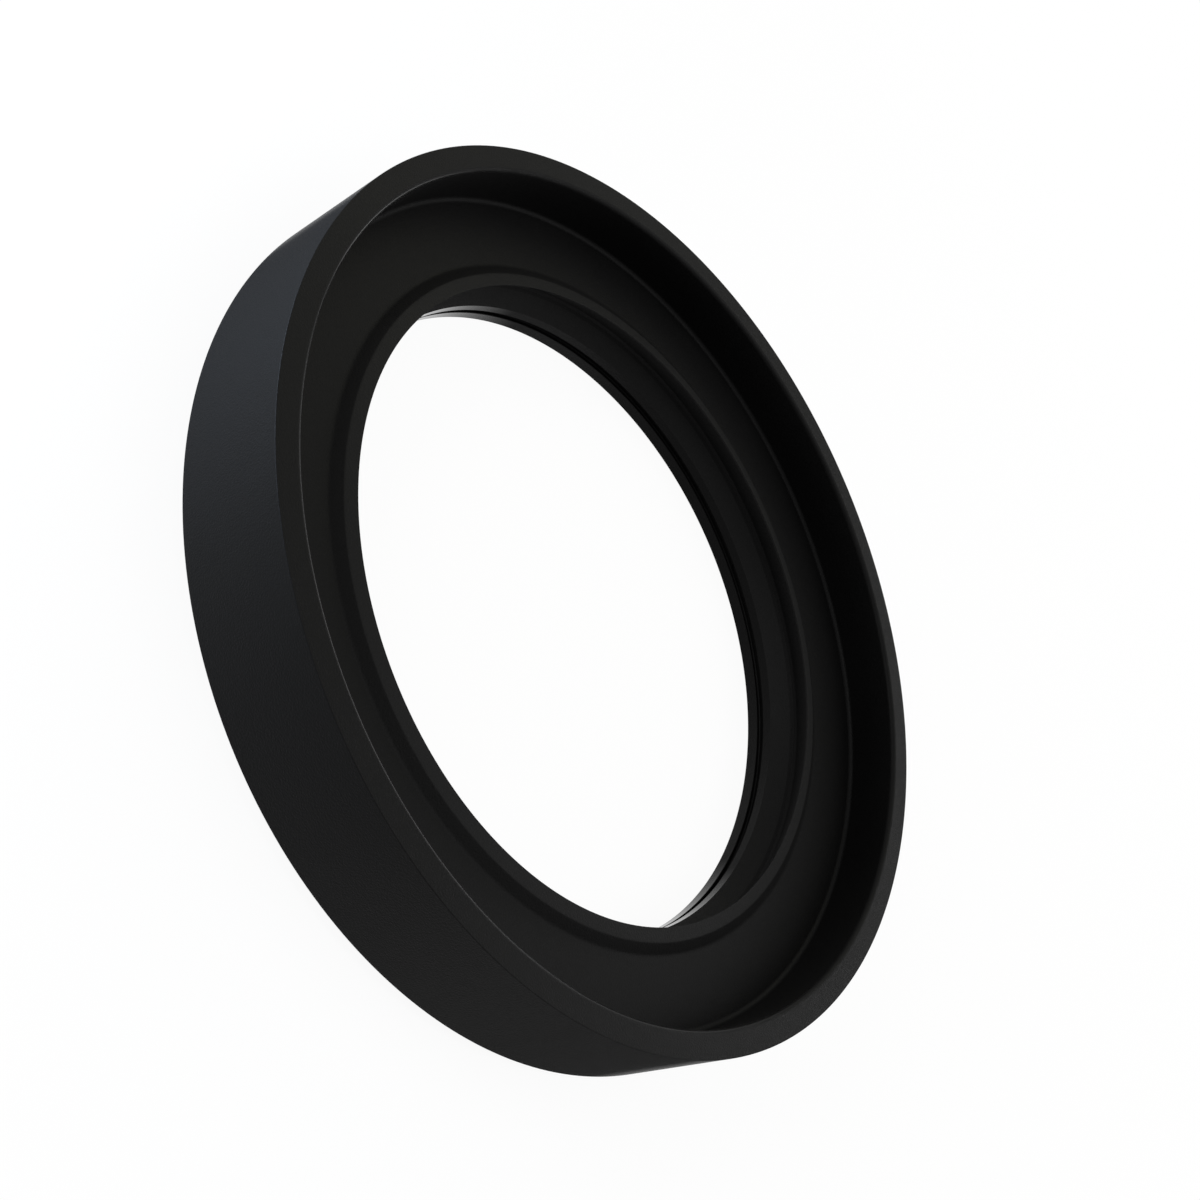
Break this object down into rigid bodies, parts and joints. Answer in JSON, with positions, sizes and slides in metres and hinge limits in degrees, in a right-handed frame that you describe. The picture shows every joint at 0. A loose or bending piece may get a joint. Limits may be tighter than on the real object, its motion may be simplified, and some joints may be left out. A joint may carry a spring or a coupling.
{
  "type": "oil seal",
  "caption": "Rubber-covered rotary shaft seal with a dust lip and a spring-loaded main lip. It keeps oil in and dirt out where a shaft leaves its housing.",
  "frame": {"origin": "centre of the circle on which the seal's oil side lies", "axes": "+Z along the seal's axis, out of its air side, which is the pictured side; +X and +Y are any two radii"},
  "size_m": [0.08, 0.08, 0.012],
  "materials": {
    "rubber": "black moulded rubber with a fine matt grain",
    "case_steel": "pressed steel sheet, dull grey where the rubber leaves it bare",
    "spring_steel": "bright drawn spring wire"
  },
  "bodies": {
    "root": {"rubber_body": "rubber", "steel_case": "case_steel", "garter_spring": "spring_steel"}
  },
  "joints": []
}
